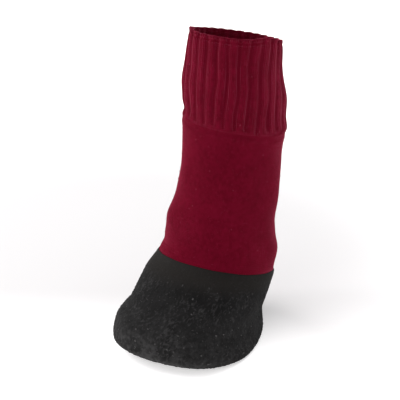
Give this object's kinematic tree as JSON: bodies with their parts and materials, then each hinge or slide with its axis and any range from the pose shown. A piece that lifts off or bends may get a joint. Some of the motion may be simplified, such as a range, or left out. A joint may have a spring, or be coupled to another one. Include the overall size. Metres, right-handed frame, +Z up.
{
  "type": "dog sock with a dipped rubber foot",
  "caption": "Knitted dog sock with a ribbed cuff and a foot dipped in rubber, open at the collar, standing empty on its flat sole.",
  "frame": {"origin": "on the floor, under the middle of the sock's box", "axes": "+Z up from the sole to the collar, -Y towards the toe, X across the foot"},
  "size_m": [0.0744, 0.121, 0.1758],
  "materials": {
    "knit": "burgundy plain knit, ribbed at the cuff",
    "rubber": "black dipped rubber, finely crinkled"
  },
  "bodies": {
    "root": {"knit_sock": "knit", "rubber_foot": "rubber"}
  },
  "joints": []
}
